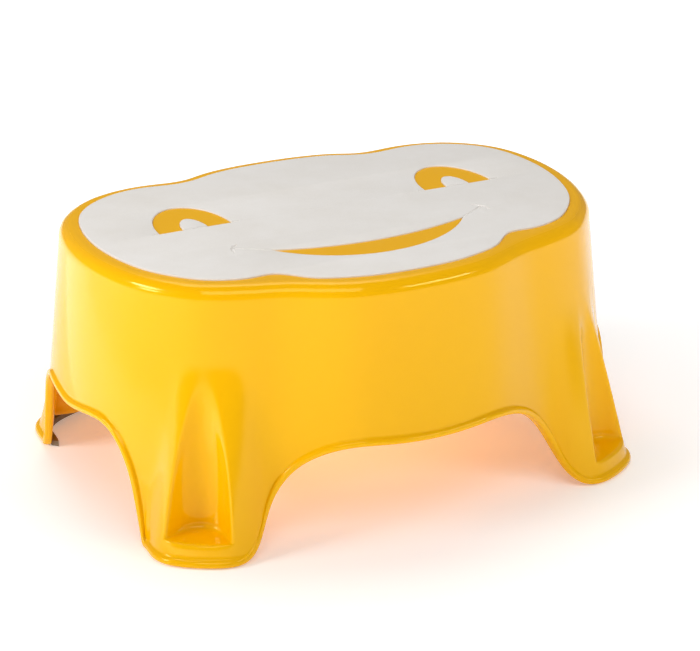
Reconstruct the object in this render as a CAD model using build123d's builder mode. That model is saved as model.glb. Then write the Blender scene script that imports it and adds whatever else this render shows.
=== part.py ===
"""Child's step stool: a moulded four-legged shell, a soft tread pad in its top
and four rubber foot pads pushed up into its legs.

Millimetres. X runs along the length, -Y is the front (the side of the smile),
Z is up and the floor is Z = 0. The origin is the middle of the footprint.
"""
from build123d import *
import math
import os

# ---- driving dimensions ------------------------------------------------------
HEIGHT = 165.0            # floor to tread
PAD_PROUD = 1.0           # tread above the ledge around it
PAD_THICK = 3.5
PAD_GAP = 0.1             # between the pad and the wall of its recess
PAD_EDGE = 0.8            # rounding of the pad's upper edge
TOP_WALL = 3.0            # plate under the pad
WALL = 3.0
DRAFT = 6.0               # lean of the side walls, degrees
LEDGE_OUT = 12.0          # tread edge to the sharp corner that the shoulder rounds off
SHOULDER = 9.0            # radius between ledge and wall
RIM_Z = 1.0               # lowest edge of the shell above the floor
LIP_PROUD = 2.5           # bead along the whole lower edge
LIP_HIGH = 4.0
MIDDLE_Y = 8.3            # from the outline frame to the middle of the footprint

# right half of the tread outline, from the front crest round to the back crest
PAD_HALF = [
    (0, -118.5), (31, -116), (47, -111.5), (63, -103.6), (72, -94.5), (80, -89.2), (92, -89),
    (106, -86.8), (120, -80), (133, -67.5), (144, -51.8), (152, -31.4), (157, -3), (157, 16),
    (154, 36), (146, 56.5), (133, 70.6), (118, 79.3), (94, 83.7), (70.6, 81.3), (58, 83.4),
    (45, 88.5), (28, 92.3), (0, 93.9),
]
NOTCHES = [(72, -94.5), (80, -89.2), (92, -89), (70.6, 81.3)]   # softened in the wider walls

# right half of each arch line between the legs: distance from the middle, height
SIDE_ARCH = [(0, 63.5), (30, 64.5), (52, 64.5), (68, 59.5), (84, 47.5), (95, 31), (104, 13), (114, 3)]
END_ARCH = [(0, 65), (30, 68), (45, 65.5), (57, 53.5), (65, 36), (71, 16), (77, 3)]
ARCH_FOOT = 14.0          # run of each arch line down to the rim past its last point
LEGS_Y = -2.4             # middle of the four legs in the outline frame

# legs: a toe swells out of each corner, with a flute scooped down its face
TOE_PROUD = 20.0          # toe outside the drafted wall, at the floor
TOE_TURN = 37.5           # where round the corner the toe is, degrees from the x axis
TOE_SPREAD = 9.2          # half width of the toe, degrees
TOE_SQUARE = 0.7          # how square the toe's sides are
KNEE_Z = 120.0            # the toe starts to swell below this height
TURNS = [0, 14, 22, 27, 31, 34.5, 38, 41.5, 45, 49, 54, 60, 68, 78, 90]   # of the wall's points
FLUTE_X, FLUTE_Y, FLUTE_R = 148.0, -115.0, 20.0       # its axis at the shelf
FLUTE_TOP_X, FLUTE_TOP_Y, FLUTE_TOP_R = 138.5, -94.5, 4.0
SHELF_Z, FLUTE_TOP_Z = 14.0, 106.0

# smiling face: windows through the pad, filled by islands that stand on the shell
FACE_SUNK = 0.8
EYE_X, EYE_HALF, EYE_TALL = 91.5, 24.0, 40.0
PUPIL_HALF, PUPIL_TALL = 8.0, 18.0
MOUTH_HALF, MOUTH_TIP_Y = 66.0, -53.5
MOUTH_TOP_Y, MOUTH_LOW_Y = -65.5, -87.0
MOUTH_TIP_IN, MOUTH_TIP_DOWN = 7.0, 5.0       # the thin tips draw in by this many gaps
DIMPLE = [(80.5, -37.5), (85.5, -41.5), (87, -49)]
SMILE_START, SMILE_END = (63, -56), (84.5, -42.5)     # it starts inside the mouth
GROOVE, GROOVE_DEEP = 1.2, 0.8
EYE_LINE = 29.0           # half length of the groove under each eye

# ribs under the top plate: place across, from and to
RIB = 2.2
RIB_DEEP = 14.0
RIBS_ALONG_Y = [(-110, -76, 72), (-55, -96, 80), (0, -106, 84), (55, -96, 80), (110, -76, 72)]
RIBS_ALONG_X = [(-70, -122, 122), (-2.4, -146, 146), (60, -134, 134)]

# rubber foot pads
FOOT_GAP = 0.25
FOOT_TOP = SHELF_Z - WALL
FOOT_X, FOOT_Y = 118.0, 80.0      # inner corner of a pad, measured from the middle of the legs

LEDGE_Z = HEIGHT - PAD_PROUD
SEAT_Z = HEIGHT - PAD_THICK       # floor of the recess that the pad lies in
CEILING_Z = SEAT_Z - TOP_WALL     # underside of the top plate
SLOPE = math.tan(math.radians(DRAFT))
REACH = 260.0                     # past every wall
CORNERS = {
    "front_left": (-1, 1), "front_right": (1, 1), "back_left": (-1, -1), "back_right": (1, -1),
}


def level(height):
    """Horizontal plane whose origin is the outline frame's."""
    return Plane((0, MIDDLE_Y, height))


def mirrored(half):
    """Closed outline from its right half."""
    return half + [(-x, y) for x, y in reversed(half[1:-1])]


pad_edge = Spline(*mirrored(PAD_HALF), periodic=True, mode=Mode.PRIVATE)


def outline(out):
    """Points of the tread outline moved outwards, with softer notches further out."""
    points = []
    for x, y in mirrored(PAD_HALF):
        if out > SHOULDER / 2 and (abs(x), y) in NOTCHES:
            continue
        along = pad_edge.tangent_at(pad_edge.param_at_point(Vector(x, y)))
        points.append((x + out * along.Y, y - out * along.X))
    return points


def wall_out(height):
    """Distance of the drafted wall outside the tread outline."""
    return LEDGE_OUT + (LEDGE_Z - height) * SLOPE


def share_at(edge, turn):
    """Share of an outline's length at an angle round from the front crest."""
    low, high = 0.0, 1.0
    for _ in range(30):
        middle = (low + high) / 2
        place = edge.position_at(middle)
        angle = math.degrees(math.atan2(place.X, LEGS_Y - place.Y)) % 360
        low, high = (middle, high) if angle < turn else (low, middle)
    return (low + high) / 2


def wall_points(grow, height):
    """Wall outline at a height, with the toes swelling out of its corners."""
    edge = Spline(*outline(wall_out(height) + grow), periodic=True, mode=Mode.PRIVATE)
    rise = max(0.0, 1 - height / KNEE_Z)
    all_round = {angle % 360 for turn in TURNS for angle in (90 - turn, 90 + turn, 270 - turn, 270 + turn)}
    points = []
    for angle in sorted(all_round):
        share = share_at(edge, angle)
        place, along = edge.position_at(share), edge.tangent_at(share)
        turn = abs(90 - angle % 180)
        out = TOE_PROUD * rise * math.exp(-TOE_SQUARE * ((turn - TOE_TURN) / TOE_SPREAD) ** 4)
        points.append((place.X + out * along.Y, place.Y - out * along.X))
    return points


def form(grow, low_z, high_z):
    """Walls and legs together between two heights, moved out by grow."""
    knee = [KNEE_Z] if low_z < KNEE_Z < high_z else []
    with BuildPart() as solid:
        for height in [low_z] + knee + [high_z]:
            with BuildSketch(level(height)):
                with BuildLine():
                    Spline(*wall_points(grow, height), periodic=True)
                make_face()
        loft(ruled=True)
    return solid.part


def corner_point(side, end, x, y, height):
    """Point at a corner, from its place at the front right one."""
    return Vector(side * x, end * (y - LEGS_Y) + LEGS_Y + MIDDLE_Y, height)


def flute(side, end, grow):
    """Leaning cone that scoops the flute, cut off level at its shelf."""
    low = corner_point(side, end, FLUTE_X, FLUTE_Y, SHELF_Z)
    high = corner_point(side, end, FLUTE_TOP_X, FLUTE_TOP_Y, FLUTE_TOP_Z)
    span = high - low
    start = low - span / 2
    start_r = FLUTE_R + (FLUTE_R - FLUTE_TOP_R) / 2 + grow
    with BuildPart(Plane(start, z_dir=span)) as solid:
        Cone(start_r, FLUTE_TOP_R + grow, span.length * 1.5, align=(Align.CENTER, Align.CENTER, Align.MIN))
        split(bisect_by=Plane.XY.offset(SHELF_Z - grow), keep=Keep.TOP)
    return solid.part


def under_arch(half, plane, rise):
    """Everything below an arch line that is moved squarely off itself by rise."""
    right = half + [(half[-1][0] + ARCH_FOOT, RIM_Z)]
    points = [(-x, z) for x, z in reversed(right[1:])] + right
    line = Spline(*points, tangents=((1, 0), (1, 0)), mode=Mode.PRIVATE)
    lifted = []
    for x, z in points:
        along = line.tangent_at(line.param_at_point(Vector(x, z)))
        lifted.append((x - rise * along.Y, z + rise * along.X))
    foot_x, foot_z = lifted[-1]
    with BuildPart() as solid:
        with BuildSketch(plane):
            with BuildLine():
                Spline(*lifted, tangents=((1, 0), (1, 0)))
                Polyline((foot_x, foot_z), (REACH, foot_z), (REACH, -REACH),
                         (-REACH, -REACH), (-REACH, foot_z), (-foot_x, foot_z))
            make_face()
        extrude(amount=REACH, both=True)
    return solid.part


def face_sketch(gap):
    """Two arched eyes with round-topped pupils, and a crescent mouth, all drawn in by a gap."""
    tip_x, tip_y = MOUTH_HALF - MOUTH_TIP_IN * gap, MOUTH_TIP_Y - MOUTH_TIP_DOWN * gap
    with BuildSketch() as face:
        for side in (-1, 1):
            with Locations((side * EYE_X, 0)):
                Ellipse(EYE_HALF - gap, EYE_TALL - gap)
                Ellipse(PUPIL_HALF + gap, PUPIL_TALL + gap, mode=Mode.SUBTRACT)
        with Locations((0, gap - REACH / 2)):
            Rectangle(REACH * 2, REACH, mode=Mode.SUBTRACT)
        with BuildLine():
            for middle_y in (MOUTH_TOP_Y - gap, MOUTH_LOW_Y + gap):
                ThreePointArc((-tip_x, tip_y), (0, middle_y), (tip_x, tip_y))
        make_face()
    return face.sketch


def groove_sketch():
    """Fine lines under the eyes, from the mouth's corners and round the dimples."""
    with BuildSketch() as grooves:
        with Locations((-EYE_X, 0), (EYE_X, 0)):
            Rectangle(2 * EYE_LINE, GROOVE)
        for side in (-1, 1):
            with BuildLine():
                Line(*[(side * x, y) for x, y in (SMILE_START, SMILE_END)])
                ThreePointArc(*[(side * x, y) for x, y in DIMPLE])
            trace(line_width=GROOVE)
    return grooves.sketch


side_cut = under_arch(SIDE_ARCH, Plane.XZ, 0)
end_plane = Plane((0, LEGS_Y + MIDDLE_Y, 0), x_dir=(0, 1, 0), z_dir=(1, 0, 0))
end_cut = under_arch(END_ARCH, end_plane, 0)

# ---- rim bead: a slightly larger form, kept only in a band above the arch lines ----
with BuildPart() as bead:
    add(under_arch(SIDE_ARCH, Plane.XZ, LIP_HIGH))
    add(under_arch(END_ARCH, end_plane, LIP_HIGH))
    add(form(LIP_PROUD, 0, KNEE_Z), mode=Mode.INTERSECT)

# ---- hollow: the inner form, keeping its distance from the flutes ----
with BuildPart() as hollow:
    add(form(-WALL, 0, CEILING_Z))
    for side, end in CORNERS.values():
        add(flute(side, end, WALL), mode=Mode.SUBTRACT)

# ---- shell ----
with BuildPart() as shell:
    add(form(0, 0, LEDGE_Z))
    fillet(shell.edges().group_by(Axis.Z)[-1], SHOULDER)
    for side, end in CORNERS.values():
        add(flute(side, end, 0), mode=Mode.SUBTRACT)
    add(bead.part)
    add(hollow.part, mode=Mode.SUBTRACT)
    add(side_cut, mode=Mode.SUBTRACT)
    add(end_cut, mode=Mode.SUBTRACT)
    with BuildSketch(level(SEAT_Z)):
        with BuildLine():
            Spline(*outline(PAD_GAP), periodic=True)
        make_face()
    extrude(amount=HEIGHT - SEAT_Z, mode=Mode.SUBTRACT)
    with BuildSketch(level(SEAT_Z)):
        add(face_sketch(PAD_GAP))
    extrude(amount=PAD_THICK - FACE_SUNK)
    with BuildSketch(level(CEILING_Z)):
        for x, low_y, high_y in RIBS_ALONG_Y:
            with Locations((x, (low_y + high_y) / 2)):
                Rectangle(RIB, high_y - low_y)
        for y, low_x, high_x in RIBS_ALONG_X:
            with Locations(((low_x + high_x) / 2, y)):
                Rectangle(high_x - low_x, RIB)
    extrude(amount=-RIB_DEEP)
shell.part.label = "shell"

# ---- tread pad ----
with BuildPart() as tread_pad:
    with BuildSketch(level(SEAT_Z)):
        with BuildLine():
            Spline(*mirrored(PAD_HALF), periodic=True)
        make_face()
    extrude(amount=PAD_THICK)
    fillet(tread_pad.edges().group_by(Axis.Z)[-1], PAD_EDGE)
    with BuildSketch(level(SEAT_Z)):
        add(face_sketch(0))
    extrude(amount=PAD_THICK, mode=Mode.SUBTRACT)
    with BuildSketch(level(HEIGHT)):
        add(groove_sketch())
    extrude(amount=-GROOVE_DEEP, mode=Mode.SUBTRACT)
tread_pad.part.label = "tread_pad"

# ---- foot pads: the foot of each leg's hollow, down to the floor ----
foot_pads = {}
for place, (side, end) in CORNERS.items():
    with BuildPart() as foot_pad:
        add(form(-WALL - FOOT_GAP, 0, FOOT_TOP))
        with Locations((side * FOOT_X, -end * FOOT_Y + LEGS_Y + MIDDLE_Y, 0)):
            Box(REACH, REACH, FOOT_TOP, mode=Mode.INTERSECT,
                align=(Align.MIN if side > 0 else Align.MAX, Align.MAX if end > 0 else Align.MIN, Align.MIN))
    foot_pad.part.label = "foot_pad_" + place
    foot_pads[place] = foot_pad.part

os.makedirs("parts", exist_ok=True)
export_step(shell.part, "parts/shell.step")
export_step(tread_pad.part, "parts/tread_pad.step")
for place, piece in foot_pads.items():
    export_step(piece, f"parts/foot_pad_{place}.step")
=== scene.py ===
"""Looks of a child's step stool: a glossy yellow moulding with a soft white tread.

The shell is one smooth mesh worked out from the stool's outline, its draft and its arches.
Lengths are millimetres until a mesh is made, and metres in Blender.
"""
import math

import bpy
import numpy as np
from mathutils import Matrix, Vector


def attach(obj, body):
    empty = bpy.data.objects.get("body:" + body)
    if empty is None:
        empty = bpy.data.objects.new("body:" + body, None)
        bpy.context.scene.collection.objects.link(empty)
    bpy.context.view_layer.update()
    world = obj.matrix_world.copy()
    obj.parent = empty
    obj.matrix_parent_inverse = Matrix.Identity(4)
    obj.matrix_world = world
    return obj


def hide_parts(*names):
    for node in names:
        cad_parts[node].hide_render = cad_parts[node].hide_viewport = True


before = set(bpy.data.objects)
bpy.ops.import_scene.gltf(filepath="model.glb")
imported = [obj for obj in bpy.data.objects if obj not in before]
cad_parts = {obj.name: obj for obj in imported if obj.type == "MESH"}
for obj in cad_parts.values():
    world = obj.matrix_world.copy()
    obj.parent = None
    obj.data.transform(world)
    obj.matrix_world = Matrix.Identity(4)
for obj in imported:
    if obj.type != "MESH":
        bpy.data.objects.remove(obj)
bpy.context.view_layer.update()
MM = 0.001

# ---- sizes --------------------------------------------------------------------
HEIGHT, PAD_PROUD, PAD_THICK, TOP_WALL, WALL = 165.0, 1.0, 3.5, 3.0, 3.0
DRAFT = 6.0                  # lean of the walls, degrees
LEDGE_OUT = 12.0             # tread edge to the sharp corner that the shoulder rounds off
SHOULDER, RIM_Z = 9.0, 1.0
MIDDLE_Y = 8.3               # from the outline's own frame to the middle of the footprint
LEGS_Y = -2.4                # middle of the four legs in the outline's frame

# right half of the tread outline, from the front crest round to the back crest
PAD_HALF = [
    (0, -118.5), (31, -116), (47, -111.5), (63, -103.6), (72, -94.5), (80, -89.2), (92, -89),
    (106, -86.8), (120, -80), (133, -67.5), (144, -51.8), (152, -31.4), (157, -3), (157, 16),
    (154, 36), (146, 56.5), (133, 70.6), (118, 79.3), (94, 83.7), (70.6, 81.3), (58, 83.4),
    (45, 88.5), (28, 92.3), (0, 93.9),
]
NOTCHES = [(72, -94.5), (80, -89.2), (92, -89), (70.6, 81.3)]      # left out of the wider walls

# right half of each arch line between the legs: distance from the middle, height
SIDE_ARCH = [
    (0, 63.5), (30, 64.5), (52, 64.5), (68, 59.5), (84, 47.5), (95, 31), (104, 13), (114, 3), (128, 1),
]
END_ARCH = [(0, 65), (30, 68), (45, 65.5), (57, 53.5), (65, 36), (71, 16), (77, 3), (91, 1)]

# toes: a swelling at each corner below the knee
TOE_PROUD, KNEE_Z, KNEE_SOFT = 20.0, 122.0, 0.12
TOE_TURN, TOE_SPREAD = 37.5, 9.2              # its middle and half width, degrees from the x axis
TOE_SQUARE = 0.7

# flutes: a scoop down each toe's face, given here for the front right one
FLUTE_ANGLE = -52.0                           # direction it faces, degrees
FLUTE_BACK_LOW = (131.4, -102.2)              # its deepest line at the shelf
FLUTE_BACK_HIGH = (128.4, -97.6)              # and where it runs out into the wall
SHELF_Z, FLUTE_TOP = 14.0, 108.0
FLUTE_FADE_PAST, FLUTE_FADE = 12.0, 34.0      # it fades out over this height, ending past its top
FLUTE_WIDTH = [(0, 18.6), (28, 18.2), (52, 15.8), (74, 11.5), (92, 8.2), (104, 7.5)]    # above shelf, radius
FLUTE_STEEPEST = 0.9                          # share of the radius where its side stops curving
RIDGE_ROUND = 4.2

# face, as islands in windows of the tread
EYE_X, EYE_HALF, EYE_TALL, PUPIL_HALF, PUPIL_TALL = 91.5, 24.0, 40.0, 8.0, 18.0
MOUTH_HALF, MOUTH_TIP_Y, MOUTH_TOP_Y, MOUTH_LOW_Y = 66.0, -53.5, -65.5, -87.0
SMILE_START, SMILE_END = (63, -56), (84.5, -42.5)
DIMPLE = [(80.5, -37.5), (85.5, -41.5), (87, -49)]
EYE_LINE = 29.0                               # half length of the groove under each eye
EYE_GROOVE, DIMPLE_GROOVE = 0.75, 0.85        # radii of the grooves' bars
FACE_SUNK, ISLAND_GAP = 0.8, 0.12
TREAD_EDGE, ISLAND_EDGE = 0.7, 0.25

# ribs under the top: place across, from and to
RIB_HALF, RIB_DEEP = 1.1, 14.0
RIBS_ALONG_Y = [(-110, -76, 72), (-55, -96, 80), (0, -106, 84), (55, -96, 80), (110, -76, 72)]
RIBS_ALONG_X = [(-70, -122, 122), (-2.4, -146, 146), (60, -134, 134)]

# soles: crescents of rubber inside the ends of the legs
SOLE_Z, SOLE_HIGH, SOLE_EDGE = 2.0, 4.0, 0.4
SOLE_OUTER, SOLE_INNER = -3.3, -8.0           # their two edges, from the face of the wall
SOLE_RIM = 1.35                               # columns with a lower rim than this are a foot's

LEDGE_Z = HEIGHT - PAD_PROUD
SEAT_Z = HEIGHT - PAD_THICK
CEILING_Z = SEAT_Z - TOP_WALL
SLOPE = math.tan(math.radians(DRAFT))
HALF_TURN = math.radians((90 - DRAFT) / 2)    # half the angle that the shoulder turns through
SHOULDER_REACH = SHOULDER * math.tan(HALF_TURN)


# ---- outline ------------------------------------------------------------------
def hermite(u, a, b, out_a, in_b):
    """Cubic from a to b at share u, with its slopes at both ends."""
    start, finish = 2 * u**3 - 3 * u**2 + 1, 3 * u**2 - 2 * u**3
    return start * a + (u**3 - 2 * u**2 + u) * out_a + finish * b + (u**3 - u**2) * in_b


def periodic_cubic(knots, values, period):
    """Smooth closed curve through values at knots; returns a function of the parameter."""
    knots, values = np.asarray(knots, float), np.asarray(values, float)
    count = len(knots)
    step = np.diff(np.append(knots, knots[0] + period))
    slope = (np.roll(values, -1, 0) - values) / step[:, None]
    matrix = np.zeros((count, count))
    for i in range(count):
        matrix[i, i - 1] = step[i]
        matrix[i, i] = 2 * (step[i - 1] + step[i])
        matrix[i, (i + 1) % count] = step[i - 1]
    before = np.roll(step, 1)[:, None]
    right = 3 * (step[:, None] * np.roll(slope, 1, 0) + before * slope)
    tangent = np.linalg.solve(matrix, right)

    def at(share):
        share = np.mod(share, period)
        i = np.searchsorted(knots, share, side="right") - 1
        width = step[i][:, None]
        u = ((share - knots[i]) / step[i])[:, None]
        after = (i + 1) % count
        return hermite(u, values[i], values[after], tangent[i] * width, tangent[after] * width)

    return at


def clamped_cubic(points):
    """Smooth line through (distance, height) points, level at both ends."""
    x, z = (np.array(column, float) for column in zip(*points))
    count = len(x)
    step = np.diff(x)
    slope = np.diff(z) / step
    matrix, right = np.eye(count), np.zeros(count)
    for i in range(1, count - 1):
        matrix[i, i - 1] = step[i]
        matrix[i, i] = 2 * (step[i - 1] + step[i])
        matrix[i, i + 1] = step[i - 1]
        right[i] = 3 * (step[i] * slope[i - 1] + step[i - 1] * slope[i])
    tangent = np.linalg.solve(matrix, right)

    def at(distance):
        distance = np.clip(np.abs(distance), x[0], x[-1])
        i = np.clip(np.searchsorted(x, distance, side="right") - 1, 0, count - 2)
        u = (distance - x[i]) / step[i]
        return hermite(u, z[i], z[i + 1], tangent[i] * step[i], tangent[i + 1] * step[i])

    return at


def normals(points):
    """Outward unit normals of a closed line of points that runs anticlockwise."""
    along = np.roll(points, -1, 0) - np.roll(points, 1, 0)
    out = np.stack([along[:, 1], -along[:, 0]], 1)
    return out / np.linalg.norm(out, axis=1)[:, None]


outline = PAD_HALF + [(-x, y) for x, y in reversed(PAD_HALF[1:-1])]
driving = np.array(outline, float)
chord = np.linalg.norm(np.roll(driving, -1, 0) - driving, axis=1)
PERIOD = float(chord.sum())
knots = np.concatenate([[0], np.cumsum(chord)[:-1]])
pad_line = periodic_cubic(knots, driving, PERIOD)
NUDGE = 0.5                  # half the run over which the outline's direction is taken
along = pad_line(knots + NUDGE) - pad_line(knots - NUDGE)
driving_out = np.stack([along[:, 1], -along[:, 0]], 1) / np.linalg.norm(along, axis=1)[:, None]
kept = [i for i, (x, y) in enumerate(outline) if (abs(x), y) not in NOTCHES]
wall_line = periodic_cubic(knots[kept], driving[kept], PERIOD)
wall_out_line = periodic_cubic(knots[kept], driving_out[kept], PERIOD)


def wall_out(height):
    """Distance of the drafted wall outside the tread outline."""
    return LEDGE_OUT + (LEDGE_Z - height) * SLOPE


def corner_turn(xy):
    """Angle of each point from the x axis about the middle of the legs, folded into one corner."""
    return np.degrees(np.arctan2(np.abs(xy[:, 1] - LEGS_Y), np.abs(xy[:, 0])))


def columns():
    """Places round the outline: about 0.65 mm apart at the legs, 2.2 mm between them."""
    fine = np.linspace(0, PERIOD, 8001)[:-1]
    at_leg = np.exp(-(((corner_turn(wall_line(fine)) - 37) / 24) ** 8))
    total = np.cumsum(1 / (2.2 - 1.55 * at_leg))
    count = int(total[-1] * PERIOD / len(fine))
    wanted = np.linspace(0, total[-1], count, endpoint=False)
    return np.interp(wanted, np.append(0, total), np.append(fine, PERIOD))


SHARES = columns()
WALL_XY, WALL_NXY = wall_line(SHARES), wall_out_line(SHARES)
PAD_XY = pad_line(SHARES)
side_arch, end_arch = clamped_cubic(SIDE_ARCH), clamped_cubic(END_ARCH)
flute_width = clamped_cubic(FLUTE_WIDTH)


def level(height):
    """One height for every column."""
    return np.full(len(SHARES), height)


def corner_signs(xy):
    """Which corner each point belongs to: 1 for right and -1 for left, 1 for front and -1 for back."""
    return np.where(xy[:, 0] >= 0, 1.0, -1.0), np.where(xy[:, 1] <= LEGS_Y, 1.0, -1.0)


def soft_min(a, b, width):
    """Smaller of a and b, with the corner rounded over width."""
    blend = np.clip(0.5 + 0.5 * (b - a) / width, 0, 1)
    return b + (a - b) * blend - width * blend * (1 - blend)


def surface(height, carved, grow):
    """Points of the wall at one height per column; carved is how far the flute is cut, 0 to 1."""
    out = (wall_out(height) + grow)[:, None]
    xy = WALL_XY + out * WALL_NXY
    facing = normals(xy)

    # the toe swells out below the knee, and is narrower at its top
    fall = np.clip(1 - height / KNEE_Z, 0, 1)
    rise = (np.sqrt(fall**2 + KNEE_SOFT**2) - KNEE_SOFT) / (math.sqrt(1 + KNEE_SOFT**2) - KNEE_SOFT)
    rise = rise * (1.3 - 0.3 * rise)
    spread = TOE_SPREAD * (1.03 - 0.36 * np.clip(height / KNEE_Z, 0, 1))
    toe = TOE_PROUD * rise * np.exp(-TOE_SQUARE * ((corner_turn(xy) - TOE_TURN) / spread) ** 4)
    xy = xy + toe[:, None] * facing

    # the flute's axis and radius at each height
    share = (height - SHELF_Z) / (FLUTE_TOP - SHELF_Z)
    radius = np.maximum(flute_width(np.clip(height - SHELF_Z, 0, None)) - grow, 0.5)
    side, end = corner_signs(xy)
    angle = math.radians(FLUTE_ANGLE)
    ahead = np.stack([side * math.cos(angle), end * math.sin(angle)], 1)
    across = np.stack([-ahead[:, 1], ahead[:, 0]], 1)
    back_x = side * (FLUTE_BACK_LOW[0] + (FLUTE_BACK_HIGH[0] - FLUTE_BACK_LOW[0]) * share)
    front_y = FLUTE_BACK_LOW[1] + (FLUTE_BACK_HIGH[1] - FLUTE_BACK_LOW[1]) * share
    back_y = LEGS_Y + end * (front_y - LEGS_Y)
    local = xy - np.stack([back_x, back_y], 1) - (radius + grow)[:, None] * ahead
    forward = (local * ahead).sum(1)
    sideways = np.abs((local * across).sum(1)) / radius

    # the wall moves back to the flute's round hollow, and past its sides to straight flanks
    inside = np.sqrt(1 - np.minimum(sideways, FLUTE_STEEPEST) ** 2)
    past = np.maximum(sideways - FLUTE_STEEPEST, 0)
    beyond = past * FLUTE_STEEPEST / math.sqrt(1 - FLUTE_STEEPEST**2)
    back = -radius * (inside - beyond)
    fade = np.clip((FLUTE_TOP + FLUTE_FADE_PAST - height) / FLUTE_FADE, 0, 1)
    fade = fade * fade * (3 - 2 * fade)
    cut = soft_min(forward, back, RIDGE_ROUND)
    moved = (cut - forward) * carved * fade
    return np.column_stack([xy + moved[:, None] * ahead, height])


def rim_heights():
    """Lower edge of the shell at each column."""
    low = level(30.0)
    for _ in range(6):       # the wall leans, so the arch line is met in a few steps
        spot = surface(low, 0.0, 0.0)
        low = np.maximum(side_arch(spot[:, 0]), end_arch(spot[:, 1] - LEGS_Y))
    return low


RIM = rim_heights()
waist = surface(level(35.0), 0.0, 0.0)[:, :2]
waist_step = np.linalg.norm(np.roll(waist, -1, 0) - waist, axis=1)
UNROLLED = np.concatenate([[0], np.cumsum(waist_step)[:-1]])
ROUND = float(waist_step.sum())


def above_rim(distance):
    """Height of the line that runs a distance squarely above the rim."""
    run = np.roll(UNROLLED, -1) - np.roll(UNROLLED, 1)
    run = np.where(run < 0, run + ROUND, run)
    climb = np.roll(RIM, -1) - np.roll(RIM, 1)
    length = np.hypot(run, climb)
    across = UNROLLED - distance * climb / length
    up = RIM + distance * run / length
    order = np.argsort(across)
    return np.interp(UNROLLED, across[order], up[order], period=ROUND)


# ---- shell mesh ---------------------------------------------------------------
# bead section: distance above the rim, how far it stands proud
LIP = [
    (0.0, -1.2), (0.0, 0.6), (0.12, 1.3), (0.45, 1.85), (1.0, 2.2), (1.8, 2.4), (2.6, 2.38), (3.3, 2.15),
    (3.8, 1.7), (4.15, 1.1), (4.4, 0.5), (4.75, 0.14), (5.3, 0.0), (6.5, 0.0),
]
# shelf section: height at a leg, share of the flute's depth that is cut
SHELF = [
    (9.5, 0), (11, 0), (12.1, 0), (12.7, 0.006), (13.2, 0.02), (13.6, 0.042), (13.9, 0.075), (14, 0.12),
    (14.02, 0.2), (14.05, 0.32), (14.1, 0.45), (14.15, 0.58), (14.25, 0.7), (14.5, 0.8), (14.9, 0.875),
    (15.6, 0.94), (16.6, 0.982), (18, 1),
]
WALL_ROWS, SHOULDER_ROWS, LEDGE_ROWS = 56, 14, 5


def rows_up(grow, shelf_drop):
    """Rows of wall points from above the bead to below the shoulder."""
    start = above_rim(LIP[-1][0])
    leg_start = RIM_Z + LIP[-1][0]
    stop = LEDGE_Z - SHOULDER_REACH * math.cos(math.radians(DRAFT))
    heights = [(z - shelf_drop, c) for z, c in SHELF]
    last = heights[-1][0]
    heights += [(last + (stop - last) * (k / WALL_ROWS) ** 1.15, 1.0) for k in range(1, WALL_ROWS + 1)]
    rows = []
    for z, carved in heights:
        share = (z - leg_start) / (stop - leg_start)
        rows.append(surface(start + (stop - start) * share, carved, grow))
    return rows


def shell_rows():
    """All rings of points round the shell, from the recess floor outside to the ceiling inside."""
    rings = []
    edge_out = normals(PAD_XY)
    for out, z in ((0.1, SEAT_Z), (0.1, LEDGE_Z - 0.5), (0.2, LEDGE_Z - 0.15), (0.5, LEDGE_Z)):
        rings.append(np.column_stack([PAD_XY + out * edge_out, level(z)]))
    corner = np.column_stack([WALL_XY + LEDGE_OUT * WALL_NXY, level(LEDGE_Z)])
    inner = rings[-1]
    inward = inner - corner
    flat = corner + inward * (SHOULDER_REACH / np.linalg.norm(inward, axis=1))[:, None]
    for k in range(1, LEDGE_ROWS + 1):
        rings.append(inner + (flat - inner) * k / LEDGE_ROWS)
    wall = rows_up(0.0, 0.0)
    weight = math.cos(HALF_TURN)
    for k in range(1, SHOULDER_ROWS):
        t = k / SHOULDER_ROWS
        a, b, c = (1 - t) ** 2, 2 * weight * t * (1 - t), t * t
        rings.append((a * flat + b * corner + c * wall[-1]) / (a + b + c))
    rings += wall[::-1]
    for distance, proud in LIP[::-1]:
        rings.append(surface(above_rim(distance), 0.0, proud))
    rings.append(surface(above_rim(0.0), 0.0, -WALL + 0.6))
    rings.append(surface(above_rim(0.6), 0.0, -WALL))
    inside = rows_up(-WALL, WALL)
    rings += inside[::3] + [inside[-1]]
    ceiling_out = LEDGE_OUT - WALL - 1.5
    rings.append(np.column_stack([WALL_XY + ceiling_out * WALL_NXY, level(CEILING_Z)]))
    return rings


def into_scene(name, data):
    """New object in the scene."""
    thing = bpy.data.objects.new(name, data)
    bpy.context.scene.collection.objects.link(thing)
    return thing


def grid_mesh(name, rows):
    """Closed mesh from rings of points, its first and last rings capped."""
    rings = np.array(rows)
    count, around = rings.shape[:2]
    points = rings.reshape(-1, 3) + (0, MIDDLE_Y, 0)
    i, j = np.meshgrid(np.arange(count - 1), np.arange(around), indexing="ij")
    k = (j + 1) % around
    row, after = i * around, (i + 1) * around
    faces = np.stack([row + j, after + j, after + k, row + k], -1).reshape(-1, 4).tolist()
    faces.append(list(range(around)))
    faces.append(list(range((count - 1) * around, count * around))[::-1])
    mesh = bpy.data.meshes.new(name)
    mesh.from_pydata((points * MM).tolist(), [], faces)
    mesh.shade_smooth()
    mesh.validate()
    return into_scene(name, mesh)


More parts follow.
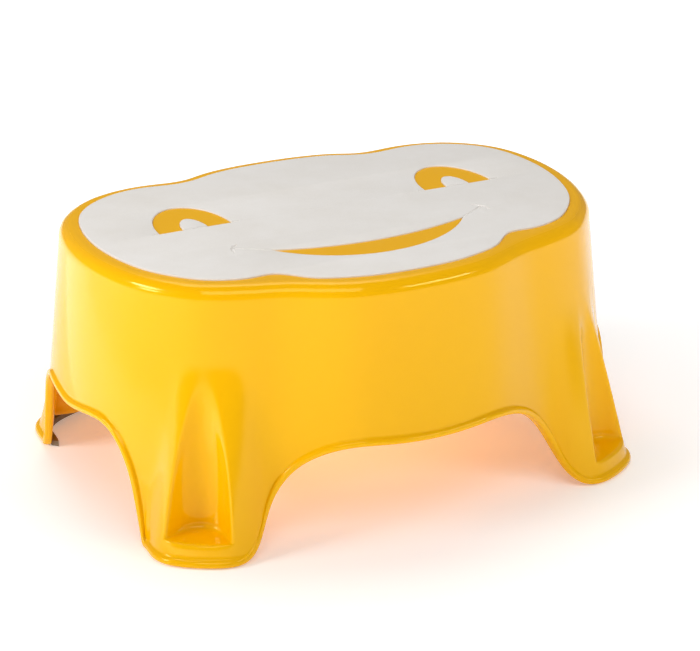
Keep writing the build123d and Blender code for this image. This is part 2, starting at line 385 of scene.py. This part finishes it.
# ---- flat pieces from closed lines --------------------------------------------
def arc_through(a, b, c, count):
    """Points on the circle arc from a through b to c."""
    a, b, c = (np.array(p, float) for p in (a, b, c))
    d = 2 * (a[0] * (b[1] - c[1]) + b[0] * (c[1] - a[1]) + c[0] * (a[1] - b[1]))
    sa, sb, sc = (p @ p for p in (a, b, c))
    centre = np.array([
        (sa * (b[1] - c[1]) + sb * (c[1] - a[1]) + sc * (a[1] - b[1])) / d,
        (sa * (c[0] - b[0]) + sb * (a[0] - c[0]) + sc * (b[0] - a[0])) / d,
    ])
    start, middle, stop = (math.atan2(*(p - centre)[::-1]) for p in (a, b, c))
    turn = 2 * math.pi
    to_stop, to_middle = (stop - start) % turn, (middle - start) % turn
    if to_middle > to_stop:
        to_stop -= turn
    angles = start + to_stop * np.linspace(0, 1, count)
    return centre + np.linalg.norm(a - centre) * np.stack([np.cos(angles), np.sin(angles)], 1)


def eye_line(side, gap):
    """Outline of an eye: an arch with a round-topped pupil let into its base."""
    def arch(half, tall, angles):
        return [(side * EYE_X + half * math.cos(a), gap + tall * math.sin(a)) for a in angles]

    outer = arch(EYE_HALF - gap, EYE_TALL - 2 * gap, np.linspace(0, math.pi, 60))
    return outer + arch(PUPIL_HALF + gap, PUPIL_TALL, np.linspace(math.pi, 0, 40))


def mouth_line(gap):
    """Outline of the mouth: a crescent between two arcs, its thin tips drawn in by more than the gap."""
    tip = (MOUTH_HALF - 7 * gap, MOUTH_TIP_Y - 5 * gap)
    left = (-tip[0], tip[1])
    low = arc_through(left, (0, MOUTH_LOW_Y + gap), tip, 60)
    high = arc_through(tip, (0, MOUTH_TOP_Y - gap), left, 60)
    return [tuple(p) for p in low] + [tuple(p) for p in high[1:-1]]


def final_mesh(thing):
    """Mesh of an object as its curve or its modifiers make it."""
    bpy.context.view_layer.update()
    return bpy.data.meshes.new_from_object(thing.evaluated_get(bpy.context.evaluated_depsgraph_get()))


def meshed(name, curve, height):
    """Piece with the mesh that a curve makes, lifted to a height in metres."""
    source = into_scene(name + "_line", curve)
    source.location.z = height
    mesh = final_mesh(source)
    mesh.transform(source.matrix_world)
    mesh.name = name
    bpy.data.objects.remove(source)
    return into_scene(name, mesh)


def plate(name, lines, low_z, high_z, edge, segments):
    """Flat plate between two heights, with rounded edges; later lines are holes in the first."""
    curve = bpy.data.curves.new(name, "CURVE")
    curve.dimensions = "2D"
    curve.fill_mode = "BOTH"
    curve.extrude = ((high_z - low_z) / 2 - edge) * MM
    curve.bevel_depth = edge * MM
    curve.bevel_resolution = segments
    curve.offset = -edge * MM
    for line in lines:
        spline = curve.splines.new("POLY")
        spline.points.add(len(line) - 1)
        for point, (x, y) in zip(spline.points, line):
            point.co = (x * MM, (y + MIDDLE_Y) * MM, 0, 1)
        spline.use_cyclic_u = True
    return meshed(name, curve, (high_z + low_z) / 2 * MM)


def tube(name, line, radius, height):
    """Round bar along an open line at one height."""
    curve = bpy.data.curves.new(name, "CURVE")
    curve.dimensions = "3D"
    curve.bevel_depth = radius * MM
    curve.bevel_resolution = 4
    curve.use_fill_caps = True
    spline = curve.splines.new("POLY")
    spline.points.add(len(line) - 1)
    for point, (x, y) in zip(spline.points, line):
        point.co = (x * MM, (y + MIDDLE_Y) * MM, height * MM, 1)
    return meshed(name, curve, 0)


def apply_modifiers(piece):
    """Makes a piece's modifiers part of its mesh."""
    mesh = final_mesh(piece)
    piece.modifiers.clear()
    piece.data = mesh


def shade_by_angle(piece, degrees):
    """Smooth shading that stays crisp at edges sharper than an angle."""
    mesh = piece.data
    mesh.shade_smooth()
    mesh.set_sharp_from_angle(angle=math.radians(degrees))


# ---- materials ----------------------------------------------------------------
def srgb(red, green, blue):
    """Linear colour from display values of 0 to 255."""
    def linear(value):
        value /= 255
        return value / 12.92 if value <= 0.04045 else ((value + 0.055) / 1.055) ** 2.4
    return (linear(red), linear(green), linear(blue), 1.0)


def new_material(name):
    """Material with its nodes, links and shader."""
    material = bpy.data.materials.new(name)
    material.use_nodes = True
    nodes = material.node_tree.nodes
    return material, nodes, material.node_tree.links, nodes["Principled BSDF"]


def noise(nodes, links, scale, detail, roughness=0.5):
    """Noise in object space, its lumps about 1 / scale metres across."""
    place = nodes.new("ShaderNodeTexCoord")
    texture = nodes.new("ShaderNodeTexNoise")
    texture.inputs["Scale"].default_value = scale
    texture.inputs["Detail"].default_value = detail
    texture.inputs["Roughness"].default_value = roughness
    links.new(place.outputs["Object"], texture.inputs["Vector"])
    return texture.outputs["Fac"]


def ramp(nodes, links, source, low, high, from_low=0.0, from_high=1.0):
    """Straight map of a value on to a range."""
    node = nodes.new("ShaderNodeMapRange")
    limits = {"From Min": from_low, "From Max": from_high, "To Min": low, "To Max": high}
    for name, value in limits.items():
        node.inputs[name].default_value = value
    links.new(source, node.inputs["Value"])
    return node.outputs["Result"]


def bump(nodes, links, shader, source, strength, distance, below=None):
    """Adds a bump layer on top of the ones before it."""
    node = nodes.new("ShaderNodeBump")
    node.inputs["Strength"].default_value = strength
    node.inputs["Distance"].default_value = distance
    links.new(source, node.inputs["Height"])
    if below is not None:
        links.new(below.outputs["Normal"], node.inputs["Normal"])
    links.new(node.outputs["Normal"], shader.inputs["Normal"])
    return node


def mix_colours(nodes, links, factor, first, second):
    """Colour between two, by a factor of 0 to 1."""
    node = nodes.new("ShaderNodeMix")
    node.data_type = "RGBA"
    links.new(factor, node.inputs["Factor"])
    node.inputs["A"].default_value = first
    node.inputs["B"].default_value = second
    return node.outputs["Result"]


def mottle(nodes, links, cloud, first, second, low=0.35):
    """Colour that drifts between two with a noise."""
    return mix_colours(nodes, links, ramp(nodes, links, cloud, 0, 1, low, 0.7), first, second)


def shell_material():
    """Glossy polypropylene, a little cloudy, with the ledge and the islands left matt."""
    material, nodes, links, shader = new_material("yellow_polypropylene")
    cloud = noise(nodes, links, 9.0, 3.0)
    colour = mottle(nodes, links, cloud, srgb(250, 184, 0), srgb(251, 187, 0), 0.3)
    links.new(colour, shader.inputs["Base Color"])
    place = nodes.new("ShaderNodeNewGeometry")
    split_xyz = nodes.new("ShaderNodeSeparateXYZ")
    links.new(place.outputs["Position"], split_xyz.inputs["Vector"])
    matt_from, matt_above = (LEDGE_Z - 1.2) * MM, (LEDGE_Z - 0.2) * MM
    matt = ramp(nodes, links, split_xyz.outputs["Z"], 0.0, 1.0, matt_from, matt_above)
    fine = noise(nodes, links, 700.0, 2.0)
    gloss = ramp(nodes, links, cloud, 0.1, 0.14, 0.3, 0.7)
    roughness = nodes.new("ShaderNodeMix")
    links.new(matt, roughness.inputs["Factor"])
    links.new(gloss, roughness.inputs["A"])
    roughness.inputs["B"].default_value = 0.42
    links.new(roughness.outputs["Result"], shader.inputs["Roughness"])
    ripple = bump(nodes, links, shader, noise(nodes, links, 60.0, 1.5), 0.12, 0.0004)
    bump(nodes, links, shader, fine, 0.05, 0.0001, ripple)
    shader.inputs["IOR"].default_value = 1.5
    shader.inputs["Specular IOR Level"].default_value = 0.55
    shader.inputs["Specular Tint"].default_value = (1.0, 0.86, 0.34, 1.0)
    return material


def tread_material():
    """Off-white elastomer with a fine moulded grain and a few soft smudges."""
    material, nodes, links, shader = new_material("white_elastomer")
    soil = noise(nodes, links, 22.0, 5.0, 0.6)
    colour = mottle(nodes, links, soil, srgb(243, 239, 234), srgb(236, 231, 224))
    links.new(colour, shader.inputs["Base Color"])
    links.new(ramp(nodes, links, soil, 0.52, 0.66, 0.3, 0.7), shader.inputs["Roughness"])
    grain = bump(nodes, links, shader, noise(nodes, links, 900.0, 3.0, 0.65), 0.35, 0.0003)
    bump(nodes, links, shader, noise(nodes, links, 260.0, 2.0), 0.2, 0.0003, grain)
    shader.inputs["Specular IOR Level"].default_value = 0.35
    shader.inputs["Sheen Weight"].default_value = 0.08
    shader.inputs["Sheen Roughness"].default_value = 0.4
    return material


def foot_material():
    """Grey-brown rubber, dusty where it meets the floor."""
    material, nodes, links, shader = new_material("foot_rubber")
    dust = noise(nodes, links, 120.0, 4.0, 0.6)
    colour = mottle(nodes, links, dust, srgb(120, 106, 88), srgb(148, 134, 114))
    links.new(colour, shader.inputs["Base Color"])
    links.new(ramp(nodes, links, dust, 0.62, 0.8), shader.inputs["Roughness"])
    bump(nodes, links, shader, noise(nodes, links, 1500.0, 2.0), 0.3, 0.0002)
    return material


def floor_material():
    """White studio floor that glows more away from the stool, so that it stays white behind it."""
    material, nodes, links, shader = new_material("studio_floor")
    shade = noise(nodes, links, 3.0, 2.0)
    colour = mix_colours(nodes, links, shade, (0.95, 0.95, 0.95, 1), (0.96, 0.96, 0.96, 1))
    links.new(colour, shader.inputs["Base Color"])
    shader.inputs["Roughness"].default_value = 0.9
    shader.inputs["Specular IOR Level"].default_value = 0.1
    shader.inputs["Emission Color"].default_value = (1, 1, 1, 1)
    place = nodes.new("ShaderNodeTexCoord")
    reach = nodes.new("ShaderNodeVectorMath")
    reach.operation = "LENGTH"
    links.new(place.outputs["Object"], reach.inputs[0])
    glow = ramp(nodes, links, reach.outputs["Value"], 0.2, 0.9, 0.15, 0.9)
    links.new(glow, shader.inputs["Emission Strength"])
    return material


def rib(name, low, high):
    """Upright plate under the top, its lower edges rounded; corners in millimetres."""
    mesh = bpy.data.meshes.new(name)
    (x0, y0, z0), (x1, y1, z1) = low, high
    footprint = ((x0, y0), (x1, y0), (x1, y1), (x0, y1))
    corners = [(x, y + MIDDLE_Y, z) for z in (z0, z1) for x, y in footprint]
    faces = [(3, 2, 1, 0), (4, 5, 6, 7), (0, 1, 5, 4), (1, 2, 6, 5), (2, 3, 7, 6), (3, 0, 4, 7)]
    mesh.from_pydata([[c * MM for c in corner] for corner in corners], [], faces)
    piece = into_scene(name, mesh)
    bevel = piece.modifiers.new("bevel", "BEVEL")
    bevel.width, bevel.segments = 0.7 * MM, 3
    apply_modifiers(piece)
    shade_by_angle(piece, 50)
    return piece


def card_material():
    """Bright card lying beside the stool, mirrored by its left wall."""
    material, nodes, links, shader = new_material("bounce_card")
    shader.inputs["Emission Color"].default_value = (1, 1, 1, 1)
    shader.inputs["Emission Strength"].default_value = 1.4
    return material


def wear(piece, material):
    """Gives a piece one material."""
    piece.data.materials.clear()
    piece.data.materials.append(material)


# ---- pieces -------------------------------------------------------------------
yellow, white, rubber = shell_material(), tread_material(), foot_material()

shell = grid_mesh("shell_skin", shell_rows())
wear(shell, yellow)
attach(shell, "root")
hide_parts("shell")

islands = {
    "eye_left": eye_line(-1, ISLAND_GAP),
    "eye_right": eye_line(1, ISLAND_GAP),
    "mouth": mouth_line(ISLAND_GAP),
}
for name, line in islands.items():
    island = plate(name, [line], SEAT_Z, HEIGHT - FACE_SUNK, ISLAND_EDGE, 2)
    shade_by_angle(island, 40)
    wear(island, yellow)
    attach(island, "root")

ribs = []
rib_low, rib_high = CEILING_Z - RIB_DEEP, CEILING_Z + 1
for i, (x, low_y, high_y) in enumerate(RIBS_ALONG_Y):
    ribs.append(rib("rib_across_%d" % i, (x - RIB_HALF, low_y, rib_low), (x + RIB_HALF, high_y, rib_high)))
for i, (y, low_x, high_x) in enumerate(RIBS_ALONG_X):
    ribs.append(rib("rib_along_%d" % i, (low_x, y - RIB_HALF, rib_low), (high_x, y + RIB_HALF, rib_high)))
for piece in ribs:
    wear(piece, yellow)
    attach(piece, "root")

rim_line = [tuple(p) for p in pad_line(np.linspace(0, PERIOD, 640, endpoint=False))]
windows = [eye_line(-1, 0), eye_line(1, 0), mouth_line(0)]
tread = plate("tread", [rim_line] + windows, SEAT_Z, HEIGHT, TREAD_EDGE, 4)
cutters = []
groove_z = HEIGHT + 0.1
for side in (-1, 1):
    under = [(side * EYE_X - EYE_LINE, 0), (side * EYE_X + EYE_LINE, 0)]
    smile = [(side * x, y) for x, y in (SMILE_START, SMILE_END)]
    dimple = arc_through(*[(side * x, y) for x, y in DIMPLE], 14)
    for line, radius in ((under, EYE_GROOVE), (smile, EYE_GROOVE), (dimple, DIMPLE_GROOVE)):
        cutters.append(tube("groove", line, radius, groove_z))
for cutter in cutters:
    cut = tread.modifiers.new("cut", "BOOLEAN")
    cut.operation = "DIFFERENCE"
    cut.solver = "EXACT"
    cut.object = cutter
apply_modifiers(tread)
for cutter in cutters:
    bpy.data.objects.remove(cutter)
shade_by_angle(tread, 35)
wear(tread, white)
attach(tread, "root")
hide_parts("tread_pad")

outside, inside = surface(level(SOLE_Z), 0.0, SOLE_OUTER), surface(level(SOLE_Z), 0.0, SOLE_INNER)
sides, ends = corner_signs(outside)
corners = {"front_left": (-1, 1), "front_right": (1, 1), "back_left": (-1, -1), "back_right": (1, -1)}
for place, (side, end) in corners.items():
    foot = (sides == side) & (ends == end) & (RIM < SOLE_RIM)
    line = [tuple(p[:2]) for p in outside[foot][::3]] + [tuple(p[:2]) for p in inside[foot][::-3]]
    sole = plate("foot_sole_" + place, [line], 0, SOLE_HIGH, SOLE_EDGE, 2)
    shade_by_angle(sole, 40)
    wear(sole, rubber)
    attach(sole, "root")
    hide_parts("foot_pad_" + place)


# ---- studio -------------------------------------------------------------------
def area_light(name, place, aim, size, power, colour=(1, 1, 1), spread=180):
    """Rectangular lamp at a place, facing a point; all in metres."""
    lamp = bpy.data.lights.new(name, "AREA")
    lamp.shape = "RECTANGLE"
    lamp.size, lamp.size_y = size
    lamp.energy = power
    lamp.color = colour
    lamp.spread = math.radians(spread)
    holder = into_scene(name, lamp)
    holder.location = place
    holder.rotation_euler = (Vector(place) - Vector(aim)).to_track_quat("Z", "Y").to_euler()


def sheet_at(name, low, high, height, material):
    """Level rectangle between two corners, in metres; it is not part of the object."""
    mesh = bpy.data.meshes.new(name)
    corners = [(low[0], low[1]), (high[0], low[1]), (high[0], high[1]), (low[0], high[1])]
    mesh.from_pydata([(x, y, height) for x, y in corners], [], [(0, 1, 2, 3)])
    sheet = into_scene(name, mesh)
    wear(sheet, material)


def studio():
    """Floor, card, sky and lamps."""
    sheet_at("floor", (-6.0, -6.0), (6.0, 6.0), 0, floor_material())
    sheet_at("bounce_card", (-0.52, -0.35), (-0.3, 0.5), 0.002, card_material())
    world = bpy.data.worlds.new("studio")
    world.use_nodes = True
    world.node_tree.nodes["Background"].inputs["Color"].default_value = (1, 1, 1, 1)
    world.node_tree.nodes["Background"].inputs["Strength"].default_value = 0.22
    bpy.context.scene.world = world
    area_light("key", (-1.6, 0.12, 0.96), (-0.1, 0, 0.1), (0.6, 0.22), 9.5)
    area_light("ridge_glint", (-1.5, -0.1, 0.5), (-0.1, 0, 0.1), (0.3, 0.22), 3)
    area_light("high_fill", (-0.55, -1.35, 2.0), (0, 0, 0.1), (1.4, 1.0), 12.5)
    area_light("overhead", (0.15, 0.6, 1.7), (0, 0, 0.15), (1.1, 0.7), 8.5)
    area_light("front", (0.85, -1.3, 0.95), (0, 0, 0.1), (0.75, 0.2), 5)
    warm = (1.0, 0.46, 0.1)
    area_light("glow_through_plastic", (0, 0.01, 0.13), (0, 0.01, 0), (0.2, 0.11), 0.08, warm, 120)
    bpy.context.scene.view_settings.view_transform = "Standard"


def camera():
    """Camera in front of the stool, to its left and above it."""
    turn, lift, distance = math.radians(-26.06), math.radians(22.80), 1.55
    target = Vector((0.0137, 0.0081, 0.0806))
    level_share = math.cos(lift)
    back = Vector((math.sin(turn) * level_share, -math.cos(turn) * level_share, math.sin(lift)))
    lens = bpy.data.cameras.new("camera")
    lens.sensor_width = 36.0
    lens.lens = 123.43
    holder = into_scene("camera", lens)
    holder.location = target + back * distance
    holder.rotation_euler = back.to_track_quat("Z", "Y").to_euler()
    bpy.context.scene.camera = holder


studio()
camera()
